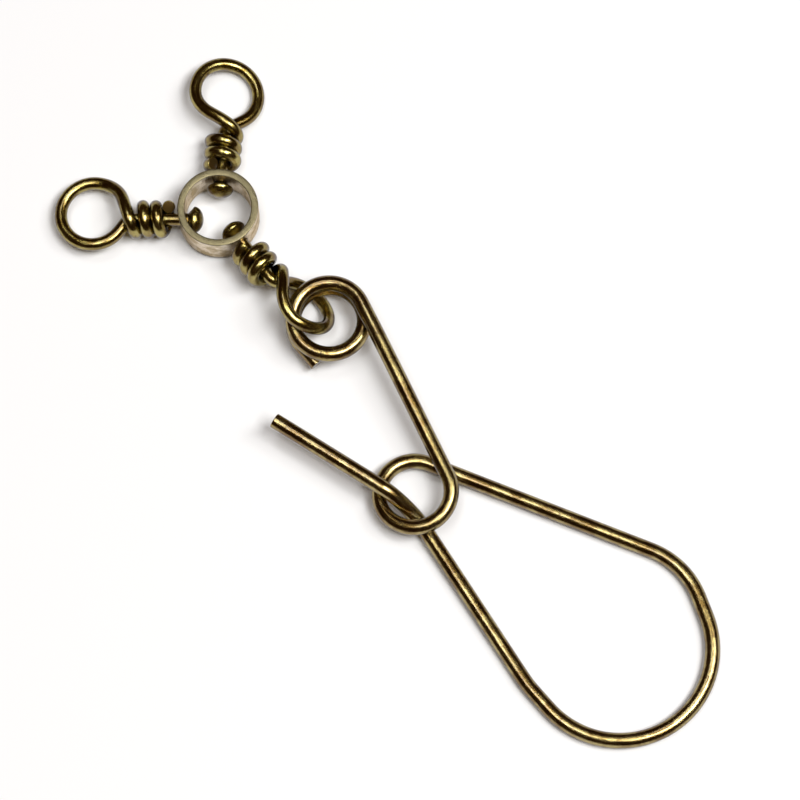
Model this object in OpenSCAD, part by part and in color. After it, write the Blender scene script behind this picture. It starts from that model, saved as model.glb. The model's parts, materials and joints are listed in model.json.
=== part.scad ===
// Three-way swivel with a wire snap, in millimetres.
// A short brass tube carries three wire eyes that spin in holes through its wall. Each eye is one
// wire: a head inside the tube, a straight shank, a loop, and a tail wrapped back round the shank.
// The snap is one more wire, linked through one of the eyes. Everything lies on the plane z = 0.

/* [Collar] */
// Outside diameter of the collar
collar_d = 9.5; // [8.5:0.1:12]
// Thickness of the collar's wall
collar_wall = 0.85; // [0.7:0.05:1.2]
// Height of the collar along its own axis
collar_h = 4.4; // [3.4:0.1:6]
// Edge break round both rims
rim_break = 0.12; // [0.05:0.01:0.25]

/* [Eye wires] */
// Diameter of the wire that the eyes are wound from
eye_wire = 1.5; // [1.2:0.05:1.6]
// Turns that the tail makes round the shank
wrap_turns = 2.85; // [1.85:0.25:3.85]
// Air between neighbouring turns, and between the turns and the shank
wrap_gap = 0.03; // [0.02:0.01:0.1]
// Diameter of the head inside the collar
head_d = 3.1; // [2.6:0.1:3.4]
// Height of the head's dome
head_h = 1.1; // [0.8:0.05:1.4]
// Length of the cone behind the head's rim
head_back = 0.6; // [0.4:0.05:0.7]
// Radial clearance of the shank in its hole
shank_clearance = 0.08; // [0.03:0.01:0.1]
// End play left between the wraps and the collar
end_play = 0.3; // [0.25:0.05:0.4]
// End play left between the back of the head and the collar's inner wall
head_play = 0.1; // [0.08:0.02:0.3]

/* [Snap eye] */
// Inside width of the loop that carries the snap
snap_eye_bore = 5.7; // [5.6:0.1:6.6]
// How far that loop's near side stands beyond the crossing
snap_eye_neck = 0.1; // [0.05:0.05:0.6]
// How far that loop is set to the side of its shank
snap_eye_set = 1.8; // [1.4:0.1:2.2]
// Angle at which that loop leans out of the ground plane
snap_eye_lean = 48; // [44:1:50]

/* [Leader eye] */
// Angle round the collar from the snap eye to the leader eye
leader_arm = 141; // [125:1:150]
// Inside width of the leader eye's loop
leader_eye_bore = 6.2; // [5.4:0.1:7.2]
// How far that loop's near side stands beyond the crossing
leader_eye_neck = 0.65; // [0.5:0.05:1.3]
// How far that loop is set to the side of its shank
leader_eye_set = 0; // [-0.4:0.1:0.6]
// Angle at which that loop leans out of the ground plane
leader_eye_lean = 20; // [18:1:26]

/* [Line eye] */
// Angle round the collar from the snap eye to the line eye
line_arm = 231.4; // [225:0.2:245]
// How far its shank passes to the side of the collar's middle
line_eye_off = 0.9; // [0:0.05:0.95]
// Inside width of the line eye's loop
line_eye_bore = 6.2; // [5.4:0.1:7.2]
// How far that loop's near side stands beyond the crossing
line_eye_neck = 0.5; // [0.5:0.05:1]
// How far that loop is set to the side of its shank
line_eye_set = -0.6; // [-1.1:0.1:-0.2]
// Angle at which that loop leans out of the ground plane
line_eye_lean = 2; // [-16:1:16]

/* [Snap] */
// Diameter of the snap's wire
snap_wire = 1.8; // [1.5:0.05:1.85]
// Air left where the snap's wire crosses or lies on itself
snap_gap = 0.06; // [0.04:0.01:0.1]
// Inside diameter of the coil that hangs in the snap eye
coil_bore = 6.55; // [6.2:0.05:7.2]
// Full turns of that coil
coil_turns = 1.54; // [1.5:0.01:1.62]
// Length of the straight cut tail that leaves the coil
tail_l = 2.9; // [1:0.1:4]
// Inside diameter of the keeper ring
ring_bore = 6.5; // [6:0.1:7.5]
// Length of the long leg, from the coil's middle to the ring's middle
leg_l = 22.9; // [20:0.1:28]
// Widest inside width of the pear-shaped loop
pear_w = 19.7; // [16:0.1:24]
// Inside length of the pear-shaped loop, from the ring's middle to its far end
pear_l = 39.1; // [34:0.1:48]
// Angle between the long leg and the pear-shaped loop
pear_angle = 26.6; // [22:0.2:30]
// Length of the straight free end beyond the ring
free_l = 14.4; // [8:0.1:18]
// Angle between the long leg and the free end
free_angle = 31.4; // [30:1:38]
// Angle by which the snap is swung away from the snap eye's shank
snap_swing = -10.4; // [-14:0.1:-8]

/* [Fineness] */
// Sides of the eye wires' bent stretches
eye_sides = 14; // [10:2:16]
// Sides of the snap wire's bent stretches
snap_sides = 16; // [10:2:18]
// Angle between neighbouring sections round a bend
bend_step = 15; // [12:1:20]

/* [Hidden] */
$fn = 64;

BRASS = [0.71, 0.58, 0.29];
PALE_BRASS = [0.74, 0.68, 0.53];

// The collar
collar_r = collar_d / 2;
bore_r = collar_r - collar_wall;
hole_r = eye_wire / 2 + shank_clearance;

// The eyes, each along its own +x from the collar's middle, with its loop in the local xy plane
eye_r = eye_wire / 2;
wrap_r = eye_wire + wrap_gap;
wrap_pitch = eye_wire + wrap_gap;
wraps_from = collar_r + end_play + eye_r;
first_wrap = wraps_from + wrap_pitch * (wrap_turns - 0.25);
lead_limit = 0.8 * eye_wire;
bend_from = first_wrap + 0.2 * eye_wire;
climb_l = 4.1 * eye_wire;
ride = 0.08 * eye_wire;
crossing_z = wrap_r + ride;

// An eye is [arm angle, lean, hand of the wraps, loop bore, neck, side set, side offset]
SNAP_EYE = [0, -snap_eye_lean, 1, snap_eye_bore, snap_eye_neck, snap_eye_set, 0];
LEADER_EYE =
    [leader_arm, leader_eye_lean, -1, leader_eye_bore, leader_eye_neck, leader_eye_set, 0];
LINE_EYE = [line_arm, -line_eye_lean, 1, line_eye_bore, line_eye_neck, line_eye_set, line_eye_off];
EYES = [SNAP_EYE, LEADER_EYE, LINE_EYE];

// Small helpers for plane geometry: directions are angles in degrees
function unit(angle) = [cos(angle), sin(angle)];
function side(angle) = [sin(angle), -cos(angle)];
function wrapped(angle) = angle - 360 * floor(angle / 360);
function ease(t) = t * t * (3 - 2 * t);
function hermite(a, slope_a, b, slope_b, t) =
    (1 + 2 * t) * pow(1 - t, 2) * a + t * pow(1 - t, 2) * slope_a
    + ease(t) * b - t * t * (1 - t) * slope_b;

// The straight line that leaves one round peg and meets the next. A peg's radius is positive
// where the wire turns left round it, and negative where it turns right.
function line_angle(a, ra, b, rb) =
    atan2(b.y - a.y, b.x - a.x) + asin((ra - rb) / norm(b - a));
function line_length(a, ra, b, rb) = sqrt(pow(norm(b - a), 2) - pow(ra - rb, 2));
function sweep_angle(from, to, r) = r > 0 ? wrapped(to - from) : -wrapped(from - to);
function steps(angle) = max(2, ceil(abs(angle) / bend_step));

// The shank's first bend is gentler on an eye whose loop is set far to the side
function core_bend_r(eye) = 0.72 * eye_wire + 0.105 * eye[5];

// How far along the shank the crossing strand travels before the even turns begin
function eye_loop_r(eye) = eye[3] / 2 + eye_r;
function loop_offset(eye) = [eye_loop_r(eye) + eye[4], eye[5]];
function crossing_angle(eye) = line_angle(loop_offset(eye), -eye_loop_r(eye), [0, 0], 0);
function lead(eye) = min(
    lead_limit,
    max(0, -wrap_r / tan(crossing_angle(eye)) - wrap_pitch / 360 * 180 / PI)
);
function crossing(eye) = wraps_from + wrap_pitch * wrap_turns + lead(eye);
function loop_middle(eye) = [crossing(eye), 0] + loop_offset(eye);

// One eye's wire, from inside the straight shank to the cut tail beside the collar
function eye_path(eye) =
    let(
        core_r = core_bend_r(eye),
        core_peg = [bend_from, core_r],
        loop_peg = loop_middle(eye),
        loop_r = eye_loop_r(eye),
        out = line_angle(core_peg, core_r, loop_peg, -loop_r),
        back = crossing_angle(eye),
        round_angle = wrapped(out - back),
        line_l = line_length(loop_peg, -loop_r, [crossing(eye), 0], 0),
        round_l = round_angle * PI / 180 * loop_r,
        climb_from = round_l + line_l - climb_l,
        hand = eye[2]
    )
    concat(
        [[first_wrap - eye_wire, 0, 0], [first_wrap - 0.5 * eye_wire, 0, 0], [bend_from, 0, 0]],
        [
            for (i = [1:steps(out)])
                let(a = out * i / steps(out), p = core_peg + core_r * side(a))
                    [p.x, hand * p.y, 0]
        ],
        [
            for (i = [0:steps(round_angle)])
                let(
                    t = i / steps(round_angle),
                    p = loop_peg - loop_r * side(out - t * round_angle),
                    up = ease(max(0, t * round_l - climb_from) / climb_l)
                )
                    [p.x, hand * p.y, crossing_z * up]
        ],
        [
            for (t = [0.35, 0.7])
                let(
                    p = [crossing(eye), 0] - line_l * (1 - t) * unit(back),
                    up = ease((round_l + line_l * t - climb_from) / climb_l)
                )
                    [p.x, hand * p.y, crossing_z * up]
        ],
        [
            for (i = [0:steps(360 * wrap_turns)])
                let(
                    a = 360 * wrap_turns * i / steps(360 * wrap_turns),
                    r = wrap_r + ride * (1 - ease(min(a / 180, 1))),
                    x = crossing(eye) - wrap_pitch * a / 360 - lead(eye) * sin(min(a, 90))
                )
                    [x, hand * r * sin(a), r * cos(a)]
        ]
    );

// How the swivel lies: the snap eye and the leader eye each rest on the low edge of their loop
function edge_y(eye) = eye_loop_r(eye) + eye[5];
function drop(eye) = edge_y(eye) * sin(abs(eye[1])) + eye_r;
function edge_x(eye) =
    turn_z([loop_middle(eye).x, eye[2] * edge_y(eye) * cos(eye[1]), 0], eye[0]).x;
pitch_up = atan((drop(SNAP_EYE) - drop(LEADER_EYE)) / (edge_x(SNAP_EYE) - edge_x(LEADER_EYE)));
collar_z = drop(LEADER_EYE) - edge_x(LEADER_EYE) * tan(pitch_up);

function turn_x(p, a) = [p.x, p.y * cos(a) - p.z * sin(a), p.y * sin(a) + p.z * cos(a)];
function turn_z(p, a) = [p.x * cos(a) - p.y * sin(a), p.x * sin(a) + p.y * cos(a), p.z];
function pitched(p) = [
    p.x * cos(pitch_up) - p.z * sin(pitch_up),
    p.y,
    p.x * sin(pitch_up) + p.z * cos(pitch_up) + collar_z
];
function placed_point(p, eye) = pitched(turn_z(turn_x(p, eye[1]) + [0, eye[6], 0], eye[0]));

// The snap's own plane: the coil's middle is its origin and the long leg runs along +x
snap_r = snap_wire / 2;
layer = snap_wire + snap_gap;
coil_r = coil_bore / 2 + snap_r;
ring_r = ring_bore / 2 + snap_r;
pear_r = pear_w / 2 + snap_r;
ring_middle = [leg_l, 0];
pear_middle = ring_middle + (pear_l - pear_w / 2) * unit(pear_angle);
free_dir = 180 + free_angle;

// The link: the coil's two layers pass through the snap eye's loop
snap_loop = placed_point([loop_middle(SNAP_EYE).x, snap_eye_set, 0], SNAP_EYE);
coil_back = 0.66;
coil_bearing = 23;
coil_middle = [snap_loop.x, snap_loop.y] + (coil_r - coil_back) * unit(coil_bearing);

// Heights of the wire's middle above the ground
ground_z = snap_r;
leg_z = snap_loop.z + 0.82 * layer;
ring_in_z = ground_z + 1.65 * layer;
ring_out_z = ground_z + 0.25 * layer;
under_z = ground_z + 0.2 * layer;
over_z = ground_z + 1.75 * layer;

// Where the wire passes under the ring's near side and over its far side
under_at = ring_middle + ring_r * unit(-10);
over_at = ring_middle + ring_r * unit(236);

// The pear's round end is three arcs: a tighter shoulder, the end itself and a wider flank
shoulder_middle = pear_middle + pear_w * [-0.112, 0.081];
shoulder_r = 0.874 * pear_r;
flank_middle = pear_middle + pear_w * [-0.142, -0.025];
flank_r = 1.023 * pear_r;

// A peg is [middle, radius with its turning sense, height in, height out, rise per mm at both ends]
coil_rise = layer / (2 * PI * coil_r);
PEGS = [
    [[0, 0], -coil_r, leg_z - coil_turns * layer, leg_z, coil_rise],
    [ring_middle, -ring_r, ring_in_z, ring_out_z, 0],
    [shoulder_middle, -shoulder_r, ground_z, ground_z, 0],
    [pear_middle, -pear_r, ground_z, ground_z, 0],
    [flank_middle, -flank_r, ground_z, ground_z, 0],
    [under_at, 0, under_z, under_z, 0]
];

function leaving(i) = line_angle(PEGS[i][0], PEGS[i][1], PEGS[i + 1][0], PEGS[i + 1][1]);
function arriving(i) = i == 0 ? leaving(0) + 360 * coil_turns : leaving(i - 1);
function peg_sweep(i) =
    i == 0 ? -360 * coil_turns : sweep_angle(arriving(i), leaving(i), PEGS[i][1]);

// The wire's height a fraction t of the way from one point to another that is l further on
function height(z_in, rise_in, z_out, rise_out, l, t) =
    hermite(z_in, l * rise_in, z_out, l * rise_out, t);

// The wire round one peg, and along the straight that follows it
function peg_arc(i) =
    let(
        n = steps(peg_sweep(i)),
        l = abs(peg_sweep(i) * PEGS[i][1]) * PI / 180,
        rise = PEGS[i][4]
    )
    [
        for (k = [0:n])
            let(p = PEGS[i][0] + PEGS[i][1] * side(arriving(i) + k / n * peg_sweep(i)))
                [p.x, p.y, height(PEGS[i][2], rise, PEGS[i][3], rise, l, k / n)]
    ];
function peg_line(i) =
    let(
        start = PEGS[i][0] + PEGS[i][1] * side(leaving(i)),
        l = line_length(PEGS[i][0], PEGS[i][1], PEGS[i + 1][0], PEGS[i + 1][1]),
        n = max(2, round(l / 4))
    )
    [
        for (k = [1:n - 1])
            let(
                p = start + l * k / n * unit(leaving(i)),
                z = height(PEGS[i][3], PEGS[i][4], PEGS[i + 1][2], PEGS[i + 1][4], l, k / n)
            )
                [p.x, p.y, z]
    ];

// The lazy S inside the ring, from under its near side to over its far side
last = len(PEGS) - 1;
arrive_dir = leaving(last - 1);
s_chord = norm(over_at - under_at);
s_curve = [
    for (t = [0:0.0625:1])
        let(
            p = hermite(under_at, s_chord * unit(arrive_dir), over_at, s_chord * unit(free_dir), t)
        )
            [p.x, p.y, under_z + (over_z - under_z) * ease(t)]
];

// The straight free end starts as an exact round bar just past the ring
bar_from = over_at + 0.7 * snap_wire * unit(free_dir);
bar_l = free_l - 0.7 * snap_wire;
bar_joint = bar_from + 0.6 * snap_wire * unit(free_dir);
coil_start = peg_arc(0)[0];
tail_dir = -unit(arriving(0));
snap_path = concat(
    [
        for (t = [1, 0.5])
            coil_start + tail_l * t * [tail_dir.x, tail_dir.y, -coil_rise]
    ],
    [for (i = [0:last - 1]) each concat(peg_arc(i), peg_line(i))],
    s_curve,
    [[bar_from.x, bar_from.y, over_z], [bar_joint.x, bar_joint.y, over_z]]
);

// The origin: the middle of the box round the whole swivel, at ground level
function placed_snap(p) = turn_z(p, snap_swing) + [coil_middle.x, coil_middle.y, 0];
free_tip = over_at + free_l * unit(free_dir);
eye_points = [
    for (eye = EYES)
        for (p = eye_path(eye)) placed_point(p, eye)
];
snap_points = [for (p = concat(snap_path, [[free_tip.x, free_tip.y, over_z]])) placed_snap(p)];
function least(points, k) = min([for (p = points) p[k]]);
function most(points, k) = max([for (p = points) p[k]]);
low = [for (k = [0:2]) min(least(eye_points, k) - eye_r, least(snap_points, k) - snap_r)];
high = [for (k = [0:2]) max(most(eye_points, k) + eye_r, most(snap_points, k) + snap_r)];
origin = [(low.x + high.x) / 2, (low.y + high.y) / 2, low.z];

module part_frame() {
    translate(-origin) children();
}

// The line of an eye's shank, with the swivel lying nose up on its eyes
module shank_line(eye) {
    part_frame()
        translate([0, 0, collar_z])
            rotate([0, -pitch_up, 0])
                rotate([0, 0, eye[0]])
                    translate([0, eye[6], 0])
                        children();
}

// A round wire along a list of points, with sections that don't twist. The first and last
// sections can be drawn in a little, to end inside a solid bar of the same wire.
function flat(v, t) = let(w = v - (v * t) * t) w / norm(w);
function along(path, i) =
    let(v = path[min(i + 1, len(path) - 1)] - path[max(i - 1, 0)]) v / norm(v);
function across(path) = [
    for (
        i = 0, n = flat(abs(along(path, 0).z) < 0.9 ? [0, 0, 1] : [1, 0, 0], along(path, 0));
        i < len(path);
        i = i + 1, n = i < len(path) ? flat(n, along(path, i)) : n
    ) n
];
module wire(path, d, sides, draw_in_start = 1, draw_in_end = 1) {
    n = len(path);
    normals = across(path);
    points = [
        for (i = [0:n - 1])
            let(
                t = along(path, i),
                u = normals[i],
                v = cross(t, u),
                r = d / 2 * (i < 2 ? draw_in_start : i > n - 3 ? draw_in_end : 1)
            )
            for (k = [0:sides - 1])
                path[i] + r * cos(360 * k / sides) * u + r * sin(360 * k / sides) * v
    ];
    walls = [
        for (i = [0:n - 2])
            for (k = [0:sides - 1])
                let(a = i * sides + k, b = i * sides + (k + 1) % sides)
                each [[a, a + sides, b], [b, a + sides, b + sides]]
    ];
    start_cap = [for (k = [0:sides - 1]) k];
    end_cap = [for (k = [sides - 1:-1:0]) (n - 1) * sides + k];
    polyhedron(points, concat(walls, [start_cap, end_cap]), convexity = 8);
}

// How far along the shank's line the collar's inner wall stands, a distance off the middle
function wall_at(off) = sqrt(pow(bore_r, 2) - pow(off, 2));

// A domed head with a cone behind its rim, on a straight shank, turned round the eye's own axis.
// The cone ends short of the collar's wall by the head's play, and the rim stays clear too.
module head_and_shank(eye) {
    seat = wall_at(eye[6] + eye_r) - head_play;
    rim = min(seat - head_back, wall_at(eye[6] + head_d / 2) - shank_clearance);
    dome = [for (a = [0:15:75]) [head_d / 2 * cos(a), rim - head_h * sin(a)]];
    rotate([0, 90, 0])
        rotate_extrude()
            polygon(concat(
                [[0, first_wrap], [eye_r, first_wrap], [eye_r, seat]],
                dome,
                [[0, rim - head_h]]
            ));
}

module wire_eye(eye) {
    shank_line(eye)
        rotate([eye[1], 0, 0])
            union() {
                head_and_shank(eye);
                wire(eye_path(eye), eye_wire, eye_sides, draw_in_start = 0.97);
            }
}

// The collar hangs level on its three shanks
module collar() {
    half = collar_h / 2;
    color(PALE_BRASS)
        difference() {
            part_frame()
                translate([0, 0, collar_z])
                    rotate_extrude()
                        polygon([
                            [bore_r + rim_break, -half],
                            [collar_r - rim_break, -half],
                            [collar_r, -half + rim_break],
                            [collar_r, half - rim_break],
                            [collar_r - rim_break, half],
                            [bore_r + rim_break, half],
                            [bore_r, half - rim_break],
                            [bore_r, -half + rim_break]
                        ]);
            for (eye = EYES)
                shank_line(eye) rotate([0, 90, 0]) cylinder(h = collar_d, r = hole_r);
        }
}

module snap_eye() {
    color(BRASS) wire_eye(SNAP_EYE);
}

module leader_eye() {
    color(BRASS) wire_eye(LEADER_EYE);
}

module line_eye() {
    color(BRASS) wire_eye(LINE_EYE);
}

module snap() {
    color(BRASS)
        part_frame()
            translate([coil_middle.x, coil_middle.y, 0])
                rotate([0, 0, snap_swing])
                    union() {
                        wire(snap_path, snap_wire, snap_sides, draw_in_end = 0.97);
                        translate([bar_from.x, bar_from.y, over_z])
                            rotate([0, 90, free_dir])
                                cylinder(h = bar_l, r = snap_r);
                    }
}

collar();
snap_eye();
leader_eye();
line_eye();
snap();
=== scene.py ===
# %% [markdown]
# # A three-way swivel with a wire snap
# A slice of brass tube carries three wire eyes. Each eye has a head inside the tube, a straight
# shank through a hole, a loop, and a tail wrapped back round the shank. A fourth wire, the snap,
# hangs in one of the eyes. Every wire here is the same kind of surface: a circle carried along a
# path. So this notebook works out four paths, sweeps them, turns the heads and the tube, and
# then spends its care on brass.

# %% Load the frame, with helpers for its parts' boxes
import json
import math
from collections import namedtuple
from itertools import accumulate

import bpy
import numpy as np
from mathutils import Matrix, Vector


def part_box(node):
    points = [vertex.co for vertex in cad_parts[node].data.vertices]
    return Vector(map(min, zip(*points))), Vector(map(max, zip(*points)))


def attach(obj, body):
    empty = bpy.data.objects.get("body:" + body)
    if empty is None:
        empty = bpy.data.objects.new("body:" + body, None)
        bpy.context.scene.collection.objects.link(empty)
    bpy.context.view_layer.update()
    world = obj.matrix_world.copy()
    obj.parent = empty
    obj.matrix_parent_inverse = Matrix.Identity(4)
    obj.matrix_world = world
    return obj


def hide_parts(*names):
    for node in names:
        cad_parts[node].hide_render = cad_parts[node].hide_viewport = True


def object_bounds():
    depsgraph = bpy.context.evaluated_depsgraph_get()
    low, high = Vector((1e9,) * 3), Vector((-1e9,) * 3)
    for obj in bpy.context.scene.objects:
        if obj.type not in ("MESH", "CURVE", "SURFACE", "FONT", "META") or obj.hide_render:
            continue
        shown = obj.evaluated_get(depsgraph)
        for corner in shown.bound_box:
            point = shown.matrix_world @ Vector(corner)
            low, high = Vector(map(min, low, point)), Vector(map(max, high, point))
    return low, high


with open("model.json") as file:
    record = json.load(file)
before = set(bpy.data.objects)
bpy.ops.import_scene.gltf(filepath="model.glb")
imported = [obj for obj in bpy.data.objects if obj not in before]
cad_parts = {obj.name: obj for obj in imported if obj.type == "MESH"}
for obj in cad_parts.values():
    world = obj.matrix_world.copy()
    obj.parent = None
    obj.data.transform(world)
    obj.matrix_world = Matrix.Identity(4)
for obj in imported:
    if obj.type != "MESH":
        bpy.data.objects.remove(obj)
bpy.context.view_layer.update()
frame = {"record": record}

joints = {j["name"]: j for j in frame["record"]["behaviour"]["joints"]}
print("joints:", ", ".join(joints))

# %% [markdown]
# ## Sizes
# The paths are worked out in millimetres, and only the finished mesh is scaled to metres. The
# places come from the frame: the joints give the collar's middle, the three shanks' lines and
# the point where the snap hangs.

# %% Sizes in millimetres
MM = 0.001
COLLAR_D, COLLAR_WALL, COLLAR_H, RIM_BREAK = 9.5, 0.85, 4.4, 0.12
EYE_WIRE, WRAP_TURNS, WRAP_GAP = 1.5, 2.85, 0.03
HEAD_D, HEAD_H, HEAD_BACK = 3.1, 1.1, 0.6
SHANK_CLEARANCE, END_PLAY, HEAD_PLAY = 0.08, 0.3, 0.1
SNAP_WIRE, SNAP_GAP = 1.8, 0.06
COIL_BORE, COIL_TURNS, TAIL_L = 6.55, 1.54, 2.9
RING_BORE, LEG_L = 6.5, 22.9
PEAR_W, PEAR_L, PEAR_ANGLE = 19.7, 39.1, 26.6
FREE_L, FREE_ANGLE, SNAP_SWING = 14.4, 31.4, -10.4

# An eye: its loop's bore, the neck before the loop, how far the loop is set to the side, its
# lean in degrees, the hand of its wraps, and how far its shank passes the collar's middle
Eye = namedtuple("Eye", "bore neck set_off lean hand off")
EYES = {
    "snap_eye": Eye(5.7, 0.1, 1.8, -48, 1, 0),
    "leader_eye": Eye(6.2, 0.65, 0, 20, -1, 0),
    "line_eye": Eye(6.2, 0.5, -0.6, -2, 1, 0.9),
}

collar_r = COLLAR_D / 2
bore_r = collar_r - COLLAR_WALL
eye_r = EYE_WIRE / 2
snap_r = SNAP_WIRE / 2
wrap_r = wrap_pitch = EYE_WIRE + WRAP_GAP
wraps_from = collar_r + END_PLAY + eye_r
# The wraps start at the loop, and a quarter turn later the tail first passes beside the shank
QUARTER_TURN = 0.25
first_wrap = wraps_from + wrap_pitch * (WRAP_TURNS - QUARTER_TURN)
print("the wraps run from", round(wraps_from, 2), "mm out along each shank")

# %% [markdown]
# ## Paths made of arcs and lines
# Bent wire is arcs and straight lines that meet smoothly. A Bezier curve drawn by eye gives
# bulges where a bending tool gives arcs, so the paths are built as on a bending jig. If every
# bend is a peg of radius r, the line between two pegs is their common tangent. Its direction is
# the direction between the pegs' middles, turned by asin((r1 - r2) / distance), with r negative
# for a right turn.

# %% Helpers for directions, tangents and arcs
def unit(angle):
    """(cos a, sin a) for a in degrees, one row for each angle."""
    a = np.radians(np.asarray(angle, float))
    return np.stack([np.cos(a), np.sin(a)], axis=-1)


def side(angle):
    """The right-hand normal (sin a, -cos a) of a direction a in degrees."""
    a = np.radians(np.asarray(angle, float))
    return np.stack([np.sin(a), -np.cos(a)], axis=-1)


def ease(t):
    """Smooth step: 3t^2 - 2t^3 between 0 and 1, flat outside."""
    t = np.clip(t, 0, 1)
    return t * t * (3 - 2 * t)


def hermite(a, slope_a, b, slope_b, t):
    """The cubic that leaves a with slope_a and reaches b with slope_b as t goes 0 to 1."""
    return ((1 + 2 * t) * (1 - t) ** 2 * a + t * (1 - t) ** 2 * slope_a
            + ease(t) * b - t * t * (1 - t) * slope_b)


def tangent(a, ra, b, rb):
    """Direction in degrees and length of the common tangent from peg a to peg b."""
    gap = np.subtract(b, a)
    distance = math.hypot(*gap)
    angle = math.degrees(math.atan2(gap[1], gap[0]) + math.asin((ra - rb) / distance))
    return angle, math.sqrt(distance ** 2 - (ra - rb) ** 2)


def row3(xy, z):
    """Rows of (x, y) with a height z, as one array of points."""
    xy = np.atleast_2d(xy)
    return np.column_stack([xy, np.broadcast_to(z, len(xy))])


def line_up(start, end, count):
    """Points on a straight line, with both ends."""
    return np.linspace(np.asarray(start, float), np.asarray(end, float), count)


print("tangent of two pegs:", tangent((0, 0), -1, (4, 0), -1))

# %% [markdown]
# ## One eye, in its own frame
# The shank lies on x. The wire bends off it, goes round the loop, comes back on a tangent,
# climbs over the shank, and winds back towards the collar as a helix of one wire's pitch. The
# real one is closed in the same order, by winding its tail, so one path makes all of it.

# %% Where an eye's head stands
def wall_at(off):
    """How far along a shank's line the collar's inner wall stands: a chord of the bore."""
    return math.sqrt(bore_r ** 2 - off ** 2)


def head_places(off):
    """Distances from the collar's middle to the head's seat and to its rim."""
    seat = wall_at(off + eye_r) - HEAD_PLAY
    return seat, min(seat - HEAD_BACK, wall_at(off + HEAD_D / 2) - SHANK_CLEARANCE)


print("seat and rim:", {name: np.round(head_places(eye.off), 2).tolist()
                        for name, eye in EYES.items()})

# %% The path of an eye
CLIMB_L = 4.1 * EYE_WIRE      # the length in which the tail climbs over the shank
LEAD_LIMIT = 0.8 * EYE_WIRE   # how far out of its pitch the first wrap may start
RIDE = 0.08 * EYE_WIRE        # how much higher than a wrap the tail crosses the shank
BEND_OUT = 0.2 * EYE_WIRE     # how far beyond the first wrap the shank starts to bend
BEND_R, BEND_GROWTH = 0.72 * EYE_WIRE, 0.105  # the bend's radius, more for a loop set aside
SHANK_N, BEND_N, LOOP_N, LINE_N, HELIX_N = 40, 30, 160, 16, 320  # points in each stretch


def eye_path(bore, neck, set_off, lean, hand, off):
    """Points of an eye's wire: shank line, bend arc, loop arc, tangent, then the helix
    (x0 - pitch a / 360, r sin a, r cos a) for a from 0 to all the turns."""
    loop_r = bore / 2 + eye_r
    offset = np.array([loop_r + neck, set_off])
    back, line_l = tangent(offset, -loop_r, (0, 0), 0)
    lead = -wrap_r / math.tan(math.radians(back)) - wrap_pitch / (2 * math.pi)
    lead = min(LEAD_LIMIT, max(0.0, lead))
    cross_x = wraps_from + wrap_pitch * WRAP_TURNS + lead
    loop = offset + [cross_x, 0]
    bend_r = BEND_R + BEND_GROWTH * set_off
    bend = np.array([first_wrap + BEND_OUT, bend_r])
    out = tangent(bend, bend_r, loop, -loop_r)[0]
    turn = (out - back) % 360
    turn_l = math.radians(turn) * loop_r
    climb_from = turn_l + line_l - CLIMB_L
    over = wrap_r + RIDE
    shank = line_up([head_places(off)[1], 0, 0], [bend[0], 0, 0], SHANK_N)
    bend_arc = row3(bend + bend_r * side(np.linspace(0, out, BEND_N)[1:]), 0)
    t = np.linspace(0, 1, LOOP_N)
    loop_arc = row3(loop - loop_r * side(out - t * turn),
                    over * ease((t * turn_l - climb_from) / CLIMB_L))
    t = np.linspace(0, 1, LINE_N)[1:-1]
    line = row3(np.array([cross_x, 0]) - line_l * (1 - t[:, None]) * unit(back),
                over * ease((turn_l + line_l * t - climb_from) / CLIMB_L))
    a = np.linspace(0, 360 * WRAP_TURNS, HELIX_N)
    r = wrap_r + RIDE * (1 - ease(a / 180))
    x = cross_x - wrap_pitch * a / 360 - lead * np.sin(np.radians(np.minimum(a, 90)))
    helix = np.column_stack([x, r * np.sin(np.radians(a)), r * np.cos(np.radians(a))])
    return np.concatenate([shank, bend_arc, loop_arc, line, helix]) * [1, hand, 1]


eye_paths = {name: eye_path(*values) for name, values in EYES.items()}
print("points in an eye:", {name: len(path) for name, path in eye_paths.items()})

# %% [markdown]
# ## The snap, seen from above
# The snap lies almost flat: cut tail, coil, long leg, keeper ring, pear-shaped loop, then an S
# that passes under the ring's near side and over its far side, and a straight free end. So its
# plan is a belt round pegs, and its height is worked out along that belt, in layers of one wire.
# The pear is a little fuller than one arc would make it, which two more pegs give: a shoulder
# before its main peg and a flank after it.

# %% The pegs of the snap
LEG_UP = 0.82                    # height of the long leg over the loop's middle, in layers
RING_UP, RING_DOWN = 1.65, 0.25  # the ring's height where the wire joins it and leaves it
UNDER_AT, UNDER_UP = -10, 0.2    # where the S passes under the ring: degrees round it, layers
OVER_AT, OVER_UP = 236, 1.75     # where the S comes up over the ring
SHOULDER_SET, SHOULDER_R = (-0.112, 0.081), 0.874  # beside the pear's peg, in pear widths,
FLANK_SET, FLANK_R = (-0.142, -0.025), 1.023       # and radius, in pear radii

layer = SNAP_WIRE + SNAP_GAP
coil_r, ring_r, pear_r = COIL_BORE / 2 + snap_r, RING_BORE / 2 + snap_r, PEAR_W / 2 + snap_r
ring = np.array([LEG_L, 0.0])
pear = ring + (PEAR_L - PEAR_W / 2) * unit(PEAR_ANGLE)
shoulder, shoulder_r = pear + PEAR_W * np.array(SHOULDER_SET), SHOULDER_R * pear_r
flank, flank_r = pear + PEAR_W * np.array(FLANK_SET), FLANK_R * pear_r
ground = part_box("snap")[0][2] / MM + snap_r
loop_pos = np.array(joints["snap_swing"]["pos_m"]) / MM
leg_z = loop_pos[2] + LEG_UP * layer
coil_rise = layer / (2 * math.pi * coil_r)
under = ring + ring_r * unit(UNDER_AT)
over = ring + ring_r * unit(OVER_AT)
under_z, over_z = ground + UNDER_UP * layer, ground + OVER_UP * layer
free_dir = 180 + FREE_ANGLE
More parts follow.
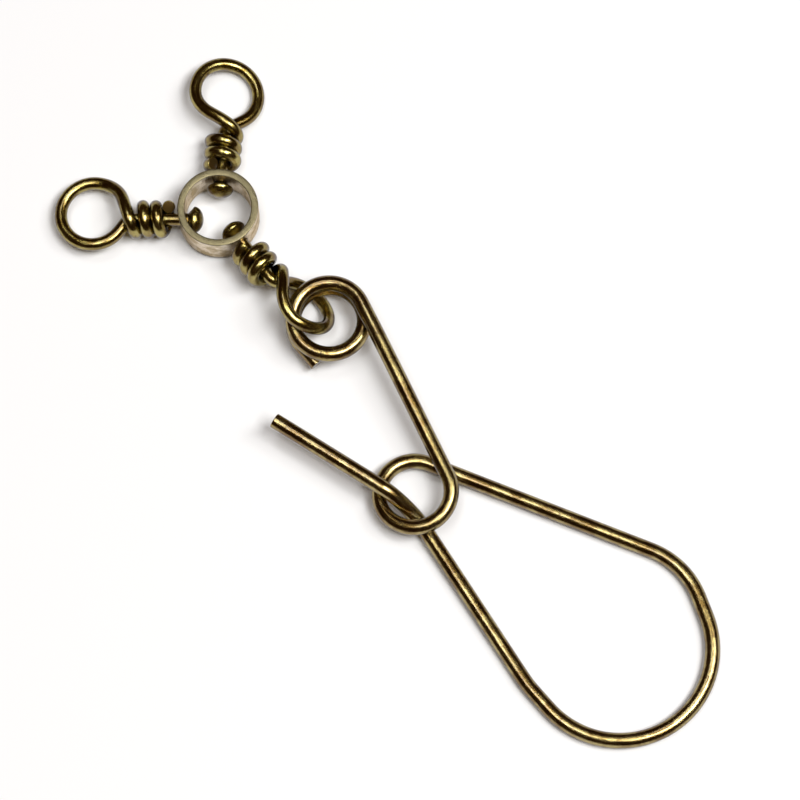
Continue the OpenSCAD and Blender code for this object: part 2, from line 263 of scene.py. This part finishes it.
# A peg: its middle, its radius with its sense, the wire's height where it arrives and where it
# leaves, and how much it rises per mm there
Peg = namedtuple("Peg", "middle r z_in z_out rise")
PEGS = [
    Peg(np.zeros(2), -coil_r, leg_z - COIL_TURNS * layer, leg_z, coil_rise),
    Peg(ring, -ring_r, ground + RING_UP * layer, ground + RING_DOWN * layer, 0),
    Peg(shoulder, -shoulder_r, ground, ground, 0),
    Peg(pear, -pear_r, ground, ground, 0),
    Peg(flank, -flank_r, ground, ground, 0),
    Peg(under, 0, under_z, under_z, 0),
]
print("the long leg lies", round(leg_z, 2), "mm up")

# %% The path of the snap
ARC_STEP, LINE_STEP = 3, 0.5  # degrees between points on an arc, mm between them on a line
TAIL_N, S_N, FREE_N = 20, 60, 50


def snap_path():
    """Points of the snap: for each peg its arc, with the height a cubic along it, then the
    tangent to the next peg; then a plane cubic from under the ring to over it."""
    coil = PEGS[0]
    arrive = tangent(coil.middle, coil.r, PEGS[1].middle, PEGS[1].r)[0] + 360 * COIL_TURNS
    start = coil.middle + coil.r * side(arrive)
    t = np.linspace(1, 0, TAIL_N)[:-1]
    pieces = [row3(start - TAIL_L * t[:, None] * unit(arrive),
                   coil.z_in - TAIL_L * t * coil_rise)]
    for peg, after in zip(PEGS[:-1], PEGS[1:]):
        leave, line_l = tangent(peg.middle, peg.r, after.middle, after.r)
        sweep = -360 * COIL_TURNS if peg is coil else -((arrive - leave) % 360)
        arc_l = abs(math.radians(sweep) * peg.r)
        t = np.linspace(0, 1, max(6, int(abs(sweep) / ARC_STEP)))
        pieces.append(row3(peg.middle + peg.r * side(arrive + t * sweep),
                           hermite(peg.z_in, arc_l * peg.rise,
                                   peg.z_out, arc_l * peg.rise, t)))
        t = np.linspace(0, 1, max(6, int(line_l / LINE_STEP)))[1:-1]
        pieces.append(row3(peg.middle + peg.r * side(leave) + line_l * t[:, None] * unit(leave),
                           hermite(peg.z_out, line_l * peg.rise,
                                   after.z_in, line_l * after.rise, t)))
        arrive = leave
    chord = np.linalg.norm(over - under)
    t = np.linspace(0, 1, S_N)[:, None]
    bend = hermite(under, chord * unit(arrive), over, chord * unit(free_dir), t)
    pieces.append(row3(bend, under_z + (over_z - under_z) * ease(t[:, 0])))
    t = np.linspace(0, 1, FREE_N)[1:]
    pieces.append(row3(over + FREE_L * t[:, None] * unit(free_dir), over_z))
    return np.concatenate(pieces)


snap_flat = snap_path()
print("snap:", len(snap_flat), "points")

# %% [markdown]
# ## Into the frame
# An eye's own x is its shank's line, which is its joint's axis. The three shanks lie in one
# plane, tipped a little because the swivel lies nose up, and each eye leans about its shank.
# The snap is turned about its coil, which bears on the snap eye's loop.

# %% Place the four paths
arms = {name: np.array(joints[name + "_spin"]["axis"], float) for name in EYES}
roots = {name: np.array(joints[name + "_spin"]["pos_m"], float) / MM for name in EYES}
collar_mid = roots["snap_eye"]
tipped_up = np.cross(arms["snap_eye"], arms["leader_eye"])
tipped_up /= np.linalg.norm(tipped_up)


def eye_axes(name):
    """The rows x, y, z of an eye's frame: x along its shank, y and z turned by its lean."""
    x = arms[name] / np.linalg.norm(arms[name])
    y, lean = np.cross(tipped_up, x), math.radians(EYES[name].lean)
    return np.array([x, y * math.cos(lean) + tipped_up * math.sin(lean),
                     tipped_up * math.cos(lean) - y * math.sin(lean)])


COIL_BACK = 0.66    # mm from the loop's middle to the coil's wire, which passes through it
COIL_BEARING = 23   # degrees, the way from the loop's middle to the coil's
paths = {name: eye_paths[name] @ eye_axes(name) + roots[name] for name in EYES}
coil_mid = loop_pos[:2] + (coil_r - COIL_BACK) * unit(COIL_BEARING)
c, s = unit(SNAP_SWING)
turned = snap_flat[:, :2] @ np.array([[c, s], [-s, c]]) + coil_mid
paths["snap"] = np.column_stack([turned, snap_flat[:, 2]])
print("snap reaches x =", round(paths["snap"][:, 0].max(), 2), "mm")

# %% [markdown]
# ## Sweeping a circle
# The surface is P(s, a) = C(s) + r(s) (cos a N(s) + sin a B(s)). N is carried from section to
# section without twisting about the wire. Each point also stores where it would be on the
# wire pulled straight, so that drawing marks run along the wire and never show a seam.

# %% Even, gently smoothed sections along a path
SAME_PLACE = 1e-6  # mm; a closer point is the same one, given twice
BELL_REACH = 4     # the bell curve is cut off at four times its spread


def even_path(points, step=0.16, soften=0.22):
    """Points a step apart along the path, each averaged with its neighbours by a bell curve
    of that spread, which rounds the joins between arcs and lines as bending does. The path is
    first carried on past its ends, turned about them, so that the ends stay in place."""
    gaps = np.linalg.norm(np.diff(points, axis=0), axis=1)
    points = points[np.concatenate([[True], gaps > SAME_PLACE])]
    along = np.concatenate([[0], np.cumsum(np.linalg.norm(np.diff(points, axis=0), axis=1))])
    n = int(along[-1] / step)
    s = np.linspace(0, along[-1], n + 1)
    even = np.column_stack([np.interp(s, along, points[:, k]) for k in range(3)])
    reach = int(BELL_REACH * soften / step)
    bell = np.exp(-0.5 * (np.arange(-reach, reach + 1) * step / soften) ** 2)
    bell /= bell.sum()
    head = 2 * even[0] - even[reach:0:-1]
    tail = 2 * even[-1] - even[-2:-reach - 2:-1]
    padded = np.concatenate([head, even, tail])
    return np.column_stack([np.convolve(padded[:, k], bell, "valid") for k in range(3)])


ANY_DIRECTION = [0.3, 0.5, 0.81]  # no wire starts along this one


def carried_frame(path):
    """Tangent T, and normals N and B that turn with the path but don't twist about it:
    each N is the last one with its part along the new T taken away."""
    t = np.gradient(path, axis=0)
    t /= np.linalg.norm(t, axis=1)[:, None]
    first = np.cross(t[0], ANY_DIRECTION)

    def carry(n, t_next):
        """N for the next section."""
        n = n - t_next * (n @ t_next)
        return n / np.linalg.norm(n)

    n = np.array(list(accumulate(t, carry, initial=first)))[1:]
    return t, n, np.cross(t, n)


print("even spacing:", np.linalg.norm(np.diff(even_path(paths["snap"])[:3], axis=0), axis=1))

# %% Turn a grid of points into a closed mesh object
SHARP_EDGE = math.radians(40)


def grid_object(name, rings, straight, body):
    """A tube from an array of closed rings (sections, sides, 3), capped at both ends. Point
    attributes keep its place on the straight wire, and a 1 on the rings that end it."""
    n, m = rings.shape[:2]
    i, k = np.meshgrid(np.arange(n - 1), np.arange(m), indexing="ij")
    k2 = (k + 1) % m
    quads = np.stack([i * m + k, i * m + k2, (i + 1) * m + k2, (i + 1) * m + k], axis=-1)
    caps = [list(range(m))[::-1], list(range((n - 1) * m, n * m))]
    mesh = bpy.data.meshes.new(name)
    mesh.from_pydata(rings.reshape(-1, 3) * MM, [], quads.reshape(-1, 4).tolist() + caps)
    mesh.attributes.new("straight_mm", "FLOAT_VECTOR", "POINT")
    mesh.attributes["straight_mm"].data.foreach_set("vector", straight.ravel().astype("f4"))
    cut = np.zeros((n, m), "f4")
    cut[[0, -1]] = 1
    mesh.attributes.new("cut_end", "FLOAT", "POINT")
    mesh.attributes["cut_end"].data.foreach_set("value", cut.ravel())
    mesh.polygons.foreach_set("use_smooth", [True] * len(mesh.polygons))
    mesh.set_sharp_from_angle(angle=SHARP_EDGE)
    obj = bpy.data.objects.new(name, mesh)
    bpy.context.collection.objects.link(obj)
    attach(obj, body)
    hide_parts(body)
    print(name, len(mesh.polygons), "faces")
    return obj


# %% Sweep the four wires
CUT_EDGE, CUT_STEPS = 0.07, 5  # mm that a cut edge is rounded by, and the rings that do it
EYE_SIDES, SNAP_SIDES = 32, 40


def cut_ends(values, first, last):
    """An array along a wire, with its first and last entries each made into CUT_STEPS."""
    return np.concatenate([np.broadcast_to(first, (CUT_STEPS, *values.shape[1:])),
                           values[1:-1], np.broadcast_to(last, (CUT_STEPS, *values.shape[1:]))])


def wire_object(name, points, r, body, sides):
    """A round wire: the circle of radius r swept along the points, with its two cut ends
    rounded over by a quarter circle: in by CUT_EDGE (1 - sin a), back by CUT_EDGE (1 - cos a)."""
    path = even_path(points)
    t, n, b = carried_frame(path)
    s = np.concatenate([[0], np.cumsum(np.linalg.norm(np.diff(path, axis=0), axis=1))])
    a = np.linspace(0, math.pi / 2, CUT_STEPS)
    inset, back = CUT_EDGE * (1 - np.sin(a)), CUT_EDGE * (1 - np.cos(a))
    radius = cut_ends(np.full(len(path), r), r - inset, r - inset[::-1])
    path = cut_ends(path, path[0] + back[:, None] * t[0], path[-1] - back[::-1, None] * t[-1])
    n, b, s = (cut_ends(v, v[0], v[-1]) for v in (n, b, s))
    turn = np.linspace(0, 2 * math.pi, sides, endpoint=False)
    cos, sin = radius[:, None] * np.cos(turn), radius[:, None] * np.sin(turn)
    rings = path[:, None] + cos[:, :, None] * n[:, None] + sin[:, :, None] * b[:, None]
    straight = np.stack(np.broadcast_arrays(s[:, None], cos, sin), axis=-1)
    return grid_object(name, rings, straight, body)


wires = {name: wire_object(name + "_wire", paths[name], eye_r, name, EYE_SIDES)
         for name in EYES}
wires["snap"] = wire_object("snap_wire", paths["snap"], snap_r, "snap", SNAP_SIDES)

# %% [markdown]
# ## Heads
# A head is the wire's own end, upset by a blow: a cone behind a rim, with a low dome towards the
# collar's middle. It is round, so it is a profile carried round the shank's line, and not a
# sphere squashed to fit. The same softening that rounds the bends of the wires rounds its rim.

# %% A profile turned round an axis
def turned_rings(profile, axis, middle, about, sides):
    """Rings P(j, a) = middle + h_j axis + r_j (cos a u + sin a v) for profile points (r, h)."""
    axis = axis / np.linalg.norm(axis)
    u = about - axis * (about @ axis)
    u /= np.linalg.norm(u)
    v = np.cross(axis, u)
    a = np.linspace(0, 2 * math.pi, sides, endpoint=False)
    r, h = np.asarray(profile, float).T
    circle = np.cos(a)[:, None] * u + np.sin(a)[:, None] * v
    rings = middle + h[:, None, None] * axis + r[:, None, None] * circle
    straight = np.stack(np.broadcast_arrays(h[:, None], r[:, None] * np.cos(a),
                                            r[:, None] * np.sin(a)), axis=-1)
    return rings, straight


UP = np.array([0, 0, 1.0])
print("a turned ring:", turned_rings([[1, 0]], UP, 0, arms["snap_eye"], 4)[0].shape)

# %% The three heads
POLE_R = 0.02              # the dome stops this short of its axis, and a cap closes it
CORE_R = 0.9 * eye_r       # the cone starts inside the shank,
CORE_IN = 0.1              # and this far beyond the head's seat
HEAD_STEP, HEAD_SOFTEN = 0.05, 0.07
HEAD_SIDES = 48
CURVE_N, FLAT_N = 20, 10   # points in the dome and the cone, and in the flat that closes them


def head_profile(off):
    """(r, h) up the inside of the shank, out along the cone to the rim, then over the dome,
    a quarter ellipse of height HEAD_H; corners softened."""
    seat, rim = head_places(off)
    a = np.radians(np.linspace(0, 90, CURVE_N))
    dome = row3(np.column_stack([HEAD_D / 2 * np.cos(a), rim - HEAD_H * np.sin(a)]), 0)
    dome[-1, 0] = POLE_R
    back = line_up([CORE_R, seat + CORE_IN, 0], [HEAD_D / 2, rim, 0], CURVE_N)[:-1]
    inside = line_up([POLE_R, seat + CORE_IN, 0], back[0], FLAT_N)[:-1]
    return even_path(np.concatenate([inside, back, dome]), HEAD_STEP, HEAD_SOFTEN)[:, :2]


heads = {}
for name, eye in EYES.items():
    rings, straight = turned_rings(head_profile(eye.off), arms[name], roots[name],
                                   tipped_up, HEAD_SIDES)
    heads[name] = grid_object(name + "_head", rings[::-1], straight[::-1], name)

# %% [markdown]
# ## Collar
# A slice of drawn tube, sawn off and tumbled, so its rims are flat with broken edges. It lies
# level. A Bevel modifier would break the holes' edges as well, which are sharp, so the broken
# rims are part of the section instead. The three holes are then cut with a Boolean, each along
# its own shank.

# %% The tube, a closed ring of wall with rounded rims
TUBE_SIDES = 192
RIM_N = 5  # points in each rounded corner of the wall


def linked_mesh(name, points, faces):
    """A mesh object from points in millimetres and lists of corner numbers."""
    mesh = bpy.data.meshes.new(name)
    mesh.from_pydata(points.reshape(-1, 3) * MM, [], faces)
    obj = bpy.data.objects.new(name, mesh)
    bpy.context.collection.objects.link(obj)
    return obj


def tube_object():
    """The wall's section is a rounded rectangle that goes round the upright axis as a grid."""
    half, a = COLLAR_H / 2, np.radians(np.linspace(0, 90, RIM_N))
    corner = np.column_stack([np.sin(a), np.cos(a)]) * RIM_BREAK
    r0, r1 = bore_r + RIM_BREAK, collar_r - RIM_BREAK
    top, low = half - RIM_BREAK, RIM_BREAK - half
    section = np.concatenate([
        [r1, top] + corner, [r1, low] + corner[::-1] * [1, -1],
        [r0, low] + corner * [-1, -1], [r0, top] + corner[::-1] * [-1, 1]])
    rings, _ = turned_rings(section, UP, collar_mid, arms["snap_eye"], TUBE_SIDES)
    n, m = rings.shape[:2]
    i, k = np.meshgrid(np.arange(n), np.arange(m), indexing="ij")
    i2, k2 = (i + 1) % n, (k + 1) % m
    quads = np.stack([i * m + k, i2 * m + k, i2 * m + k2, i * m + k2], axis=-1)
    return linked_mesh("collar_tube", rings, quads.reshape(-1, 4).tolist())


collar = tube_object()
print("tube:", len(collar.data.polygons), "faces")

# %% Drill the three holes
hole_r = eye_r + SHANK_CLEARANCE
DRILL_SIDES = 48
HOLE_EDGE = math.radians(35)
k = np.arange(DRILL_SIDES)
drill_faces = np.column_stack([k, (k + 1) % DRILL_SIDES, (k + 1) % DRILL_SIDES + DRILL_SIDES,
                               k + DRILL_SIDES]).tolist()
drill_faces += [k[::-1].tolist(), (k + DRILL_SIDES).tolist()]
for name in EYES:
    rings, _ = turned_rings([[hole_r, EYE_WIRE], [hole_r, COLLAR_D]], arms[name], roots[name],
                            tipped_up, DRILL_SIDES)
    drill = linked_mesh("drill", rings, drill_faces)
    cut = collar.modifiers.new("hole", "BOOLEAN")
    cut.operation, cut.solver, cut.object = "DIFFERENCE", "EXACT", drill
    bpy.context.view_layer.update()
    solid = bpy.data.meshes.new_from_object(
        collar.evaluated_get(bpy.context.evaluated_depsgraph_get()))
    collar.modifiers.clear()
    collar.data = solid
    bpy.data.objects.remove(drill)
collar.data.polygons.foreach_set("use_smooth", [True] * len(collar.data.polygons))
collar.data.set_sharp_from_angle(angle=HOLE_EDGE)
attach(collar, "collar")
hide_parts("collar")
print("collar:", len(collar.data.polygons), "faces")

# %% [markdown]
# ## Materials
# All of it is brass, an alloy of copper and zinc that is yellow where it is fresh, and turns
# olive and then brown as it ages. The Principled shader with Metallic at 1 does a metal: its
# base colour tints every reflection, and its specular tint is the colour at grazing angles. The
# colours are written as sRGB hex and turned to linear by one function, and one helper adds a
# node with its settings and its links.

# %% Colour and node helpers
# A Mix node keeps a pair of sockets for each kind of data. These are their numbers.
FACTOR, A_NUMBER, B_NUMBER, A_COLOUR, B_COLOUR = 0, 2, 3, 6, 7
NUMBER_OUT, COLOUR_OUT = 0, 2


def linear(code):
    """An sRGB hex colour as linear RGBA: ((c + 0.055) / 1.055) ^ 2.4 above the toe."""
    c = np.array([int(code[k:k + 2], 16) for k in (0, 2, 4)]) / 255
    c = np.where(c <= 0.04045, c / 12.92, ((c + 0.055) / 1.055) ** 2.4)
    return (*c.tolist(), 1.0)


def add(tree, kind, values=None, links=None, **settings):
    """Adds a node: settings are its attributes, values its sockets, links what feeds them."""
    node = tree.nodes.new("ShaderNode" + kind)
    for key, value in settings.items():
        setattr(node, key, value)
    for key, value in (values or {}).items():
        node.inputs[key].default_value = value
    for key, socket in (links or {}).items():
        tree.links.new(socket, node.inputs[key])
    return node


def new_metal(name, edge):
    """A bare metal with that colour at grazing angles, its node tree and its shader."""
    material = bpy.data.materials.new(name)
    material.use_nodes = True
    shader = material.node_tree.nodes["Principled BSDF"]
    shader.inputs["Metallic"].default_value = 1.0
    shader.inputs["Specular Tint"].default_value = linear(edge)
    return material, material.node_tree, shader


print("mid grey is", round(linear("808080")[0], 3), "in linear light")

# %% [markdown]
# ## Drawn brass wire
# The wires were drawn through a die and wound. They are taken to have a thin clear lacquer,
# with an uneven tarnish under it. What the eye gets is a yellow reflection broken up by fine
# lines and grain, a whiter glint from the lacquer over it, and flanks that go nearly black:
# partly from the dim room they mirror, and partly painted shade, a dark brown tint at grazing
# angles. Cut ends are painted dark brown too, as shade. A painted pattern could carry the
# tarnish, but it would show a seam on every wire. Noise has none, when it reads the place that
# each point would have on the wire pulled straight, in millimetres. So its scales are waves in
# a millimetre.

# %% Tarnish, spots and cut ends
EYE_COLOURS = "A69853", "796325", "482E03"    # fresh brass, aged brass and stain
SNAP_COLOURS = "A6955F", "775F2E", "442A0A"   # another gauge and coil, a little less yellow
CUT_END_SHADE_COLOUR = "4A3818"                         # painted shade: cut ends are coloured dark brown so that they don't show as lit discs
PATCHES, SPOTS = 0.55, 3.5                    # waves in a mm: patches 2 mm across, spots 0.3


def tarnish_and_end_shade(tree, straight, cut, colours):
    """The colour: fresh or aged brass by patches, stained by spots, and painted shade on the cut
    ends, which are coloured dark brown.
    """
    fresh, aged, stain = colours
    patches = add(tree, "TexNoise", {"Scale": PATCHES, "Detail": 5.0, "Roughness": 0.6},
                  {"Vector": straight})
    tone = add(tree, "MapRange", {"From Min": 0.42, "From Max": 0.58},
               {"Value": patches.outputs["Fac"]})
    brass = add(tree, "Mix", {A_COLOUR: linear(fresh), B_COLOUR: linear(aged)},
                {FACTOR: tone.outputs["Result"]}, data_type="RGBA")
    spots = add(tree, "TexNoise", {"Scale": SPOTS, "Detail": 5.0, "Roughness": 0.75},
                {"Vector": straight})
    mask = add(tree, "MapRange", {"From Min": 0.54, "From Max": 0.70},
               {"Value": spots.outputs["Fac"]})
    stained = add(tree, "Mix", {B_COLOUR: linear(stain)},
                  {FACTOR: mask.outputs["Result"], A_COLOUR: brass.outputs[COLOUR_OUT]},
                  data_type="RGBA")
    # painted shade: the cut ends are mixed to dark brown
    shaded_end = add(tree, "Mix", {B_COLOUR: linear(CUT_END_SHADE_COLOUR)},
                  {FACTOR: cut, A_COLOUR: stained.outputs[COLOUR_OUT]}, data_type="RGBA")
    return shaded_end.outputs[COLOUR_OUT]


print("tarnish patches:", round(1 / PATCHES, 1), "mm; spots:", round(1 / SPOTS, 1), "mm")

# %% The wire's brass: lines, grain and lacquer
# A die's lines are hundredths of a mm apart, too fine to show, so they are drawn as coarse as
# they need to be: 0.12 mm apart and 2.5 mm long. The grain between them is drawn 0.11 mm across
# and 0.025 mm deep, which is coarser and deeper than on real wire, for the same reason.
LINES = (0.4, 8.0, 8.0)              # waves in a mm along the wire and across it
SMOOTHEST, ROUGHEST, CUT_ROUGH = 0.12, 0.28, 0.6
WIRE_GRAIN = (9.0, 1.0, 0.025)       # waves in a mm, weight beside the lines, depth in mm
HEAD_DENTS = (1.7, 3.0, 0.05)        # a head was struck, so it has wider and deeper dents
LACQUER, LACQUER_ROUGH = 1.0, 0.14
GRAZING_PAINTED_SHADE = "1E1206"                   # painted shade: the wire's flanks are tinted dark brown at grazing angles


def drawn_brass(name, colours, grain=WIRE_GRAIN):
    """Brass drawn through a die: noise stretched along the wire for its roughness, the same
    noise and the grain for its bump, tarnish and painted shade on cut ends for its colour, a
    dark brown grazing tint as painted shade on its flanks, and a clear coat over them."""
    waves, weight, depth = grain
    # painted shade: the dark brown grazing tint darkens the wire's flanks
    material, tree, shader = new_metal(name, GRAZING_PAINTED_SHADE)
    shader.inputs["Coat Weight"].default_value = LACQUER
    shader.inputs["Coat Roughness"].default_value = LACQUER_ROUGH
    straight = add(tree, "Attribute", attribute_name="straight_mm").outputs["Vector"]
    cut = add(tree, "Attribute", attribute_name="cut_end").outputs["Fac"]
    tree.links.new(tarnish_and_end_shade(tree, straight, cut, colours), shader.inputs["Base Color"])
    along = add(tree, "Mapping", {"Scale": LINES}, {"Vector": straight})
    lines = add(tree, "TexNoise", {"Scale": 1.0, "Detail": 3.0, "Roughness": 0.65},
                {"Vector": along.outputs["Vector"]})
    rough = add(tree, "MapRange", {"From Min": 0.3, "From Max": 0.7, "To Min": SMOOTHEST,
                                   "To Max": ROUGHEST}, {"Value": lines.outputs["Fac"]})
    rougher = add(tree, "MapRange", {"To Max": CUT_ROUGH},
                  {"Value": cut, "To Min": rough.outputs["Result"]})
    tree.links.new(rougher.outputs["Result"], shader.inputs["Roughness"])
    pits = add(tree, "TexNoise", {"Scale": waves, "Detail": 2.0}, {"Vector": straight})
    total = add(tree, "Math", {1: weight}, {0: pits.outputs["Fac"], 2: lines.outputs["Fac"]},
                operation="MULTIPLY_ADD")
    bump = add(tree, "Bump", {"Strength": 0.6, "Distance": depth * MM},
               {"Height": total.outputs["Value"]})
    tree.links.new(bump.outputs["Normal"], shader.inputs["Normal"])
    return material


# %% Give the wires and heads their brass
eye_brass = drawn_brass("drawn brass, eye wire", EYE_COLOURS)
snap_brass = drawn_brass("drawn brass, snap wire", SNAP_COLOURS)
head_brass = drawn_brass("upset brass, wire heads", EYE_COLOURS, HEAD_DENTS)
for name in EYES:
    wires[name].data.materials.append(eye_brass)
    heads[name].data.materials.append(head_brass)
wires["snap"].data.materials.append(snap_brass)
print("materials:", [m.name for m in bpy.data.materials])

# %% [markdown]
# ## Sawn and tumbled brass tube
# The collar's walls keep fine lines along the tube from its drawing. Its rims were sawn, so
# they have parallel scores. Tumbling has left all of it duller and paler than the wires, and
# the sawn rims are a dull olive. One material does both, parted by the height within the
# collar, because the Boolean has cut the mesh into faces that are of no use for picking them.

# %% The tube's brass
# The lines from drawing are finer on a real tube; these are as coarse as they need to be to
# show. Scales are waves in a mm again, divided by MM because Object coordinates are in metres.
WALL_PATCHES = 0.7 / MM                      # 1.4 mm across
SCORES = (0.6 / MM, 8.0 / MM, 1.0 / MM)      # along x and 0.12 mm apart, as a coarse blade's are
DRAWS = (6.0 / MM, 6.0 / MM, 0.2 / MM)       # up the wall, 0.17 mm apart and 5 mm long
WALL_PALE, WALL_DULL, RIM_COLOUR, TUBE_GRAZING = "F4ECE0", "BEB29A", "7A7256", "C0B098"
RIM_FROM, RIM_FULL = 0.12, 0.02              # mm below the rim: its look begins, and is whole
TUBE_SMOOTH, TUBE_ROUGH = 0.24, 0.4
SCORE_DEPTH = 0.03                           # mm


def tube_brass():
    """Brass tube on Object coordinates: score noise stretched along x on the rims, draw noise
    stretched along z on the walls, parted by a ramp on the height within the collar."""
    material, tree, shader = new_metal("sawn and tumbled brass tube", TUBE_GRAZING)
    where = add(tree, "TexCoord").outputs["Object"]
    patches = add(tree, "TexNoise", {"Scale": WALL_PATCHES, "Detail": 5.0, "Roughness": 0.65},
                  {"Vector": where})
    tone = add(tree, "MapRange", {"From Min": 0.42, "From Max": 0.58},
               {"Value": patches.outputs["Fac"]})
    wall = add(tree, "Mix", {A_COLOUR: linear(WALL_PALE), B_COLOUR: linear(WALL_DULL)},
               {FACTOR: tone.outputs["Result"]}, data_type="RGBA")
    scored = add(tree, "Mapping", {"Scale": SCORES}, {"Vector": where})
    scores = add(tree, "TexNoise", {"Scale": 1.0, "Detail": 4.0, "Roughness": 0.7},
                 {"Vector": scored.outputs["Vector"]})
    drawn = add(tree, "Mapping", {"Scale": DRAWS}, {"Vector": where})
    draws = add(tree, "TexNoise", {"Scale": 1.0, "Detail": 3.0, "Roughness": 0.6},
                {"Vector": drawn.outputs["Vector"]})
    centred = add(tree, "Mapping", {"Location": (0, 0, -collar_mid[2] * MM)}, {"Vector": where})
    height = add(tree, "SeparateXYZ", links={"Vector": centred.outputs["Vector"]})
    level = add(tree, "Math", links={0: height.outputs["Z"]}, operation="ABSOLUTE")
    rim = add(tree, "MapRange", {"From Min": (COLLAR_H / 2 - RIM_FROM) * MM,
                                 "From Max": (COLLAR_H / 2 - RIM_FULL) * MM},
              {"Value": level.outputs["Value"]})
    brass = add(tree, "Mix", {B_COLOUR: linear(RIM_COLOUR)},
                {FACTOR: rim.outputs["Result"], A_COLOUR: wall.outputs[COLOUR_OUT]},
                data_type="RGBA")
    tree.links.new(brass.outputs[COLOUR_OUT], shader.inputs["Base Color"])
    marks = add(tree, "Mix", links={FACTOR: rim.outputs["Result"],
                                    A_NUMBER: draws.outputs["Fac"],
                                    B_NUMBER: scores.outputs["Fac"]})
    rough = add(tree, "MapRange", {"From Min": 0.3, "From Max": 0.7, "To Min": TUBE_SMOOTH,
                                   "To Max": TUBE_ROUGH}, {"Value": marks.outputs[NUMBER_OUT]})
    tree.links.new(rough.outputs["Result"], shader.inputs["Roughness"])
    bump = add(tree, "Bump", {"Strength": 0.8, "Distance": SCORE_DEPTH * MM},
               {"Height": marks.outputs[NUMBER_OUT]})
    tree.links.new(bump.outputs["Normal"], shader.inputs["Normal"])
    return material


collar.data.materials.clear()
collar.data.materials.append(tube_brass())
print("materials:", [m.name for m in bpy.data.materials])

# %% [markdown]
# ## Floor
# The swivel lies on matt white paper, lit enough to come out white. A plain diffuse shader does
# for that, and it still takes the soft shadows that show how high each wire stands.

# %% Floor
FLOOR_HALF = 1500.0  # mm
PAPER_WHITE = "F8F8F8"


def floor_material():
    """Matt white paper: light scattered evenly, with no gloss."""
    material = bpy.data.materials.new("matt white paper")
    material.use_nodes = True
    tree = material.node_tree
    tree.nodes.remove(tree.nodes["Principled BSDF"])
    paper = add(tree, "BsdfDiffuse", {"Color": linear(PAPER_WHITE)})
    tree.links.new(paper.outputs[0], tree.nodes["Material Output"].inputs["Surface"])
    return material


low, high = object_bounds()
corners = FLOOR_HALF * np.array([[-1, -1], [1, -1], [1, 1], [-1, 1]])
floor = linked_mesh("floor", row3(corners, low[2] / MM), [[0, 1, 2, 3]])
floor.data.materials.append(floor_material())
print("floor at", round(low[2] / MM, 3), "mm; the swivel is", round(high[2] / MM, 2), "mm high")

# %% [markdown]
# ## Light
# A wire mirrors a panel as one bright line, and how bright depends on which way the wire runs.
# A straight wire along t, seen from V, mirrors a light towards L where t . (L + V) = 0. So the
# big panel is set for the strands that run up to the right, and smaller ones at other bearings
# give the other strands dimmer lines. One overhead panel, or a bright sky, would light all of
# them alike. The room is dim and warm, which keeps the flanks brown.

# %% Lights
AIM_X, AIM_Y = 30.3, 4.1  # mm from the collar's middle to the middle of the view
AIM = Vector(((collar_mid[0] + AIM_X) * MM, (collar_mid[1] + AIM_Y) * MM, 0.0))
PANEL_D = 1.0  # m from AIM to each panel
# Each panel: bearing and elevation in degrees, width and height in m, and radiance
PANELS = {
    "main panel": (32, 70, 0.42, 0.30, 18.0),
    "side panel": (60, 55, 0.25, 0.25, 9.0),
    "back panel": (270, 80, 0.25, 0.25, 9.5),
    "far panel": (160, 72, 0.25, 0.25, 5.0),
}
ROOM_COLOUR, ROOM_STRENGTH = "F0A464", 0.045


def place(azimuth, elevation, distance):
    """A point at that azimuth and elevation in degrees and distance from AIM."""
    level = distance * math.cos(math.radians(elevation))
    x, y = unit(azimuth) * level
    return AIM + Vector((x, y, distance * math.sin(math.radians(elevation))))


def soft_light(name, azimuth, elevation, width, height, radiance):
    """A panel that faces AIM. Its power gives it that radiance: W = pi width height L."""
    lamp = bpy.data.lights.new(name, "AREA")
    lamp.shape, lamp.size, lamp.size_y = "RECTANGLE", width, height
    lamp.energy = math.pi * width * height * radiance
    obj = bpy.data.objects.new(name, lamp)
    obj.location = place(azimuth, elevation, PANEL_D)
    obj.rotation_euler = (AIM - obj.location).to_track_quat("-Z", "Y").to_euler()
    bpy.context.collection.objects.link(obj)


for name, panel in PANELS.items():
    soft_light(name, *panel)
world = bpy.data.worlds.new("studio")
bpy.context.scene.world = world
world.use_nodes = True
room = world.node_tree.nodes["Background"]
room.inputs["Color"].default_value = linear(ROOM_COLOUR)
room.inputs["Strength"].default_value = ROOM_STRENGTH

# %% [markdown]
# ## Camera
# The camera looks almost straight down, from well off and through a long lens, so the pear at
# one end and the eyes at the other are drawn to the same scale.

# %% Camera
VIEW_AZ, VIEW_EL, VIEW_D = -36.5, 75.0, 0.420  # degrees, degrees and m from AIM
LENS, SENSOR = 161.8, 36                       # mm
camera_data = bpy.data.cameras.new("camera")
camera_data.lens, camera_data.sensor_width = LENS, SENSOR
camera = bpy.data.objects.new("camera", camera_data)
camera.location = place(VIEW_AZ, VIEW_EL, VIEW_D)
camera.rotation_euler = (AIM - camera.location).to_track_quat("-Z", "Y").to_euler()
bpy.context.collection.objects.link(camera)
bpy.context.scene.camera = camera
bpy.context.scene.view_settings.view_transform = "Standard"
print("camera at", [round(v, 3) for v in camera.location])
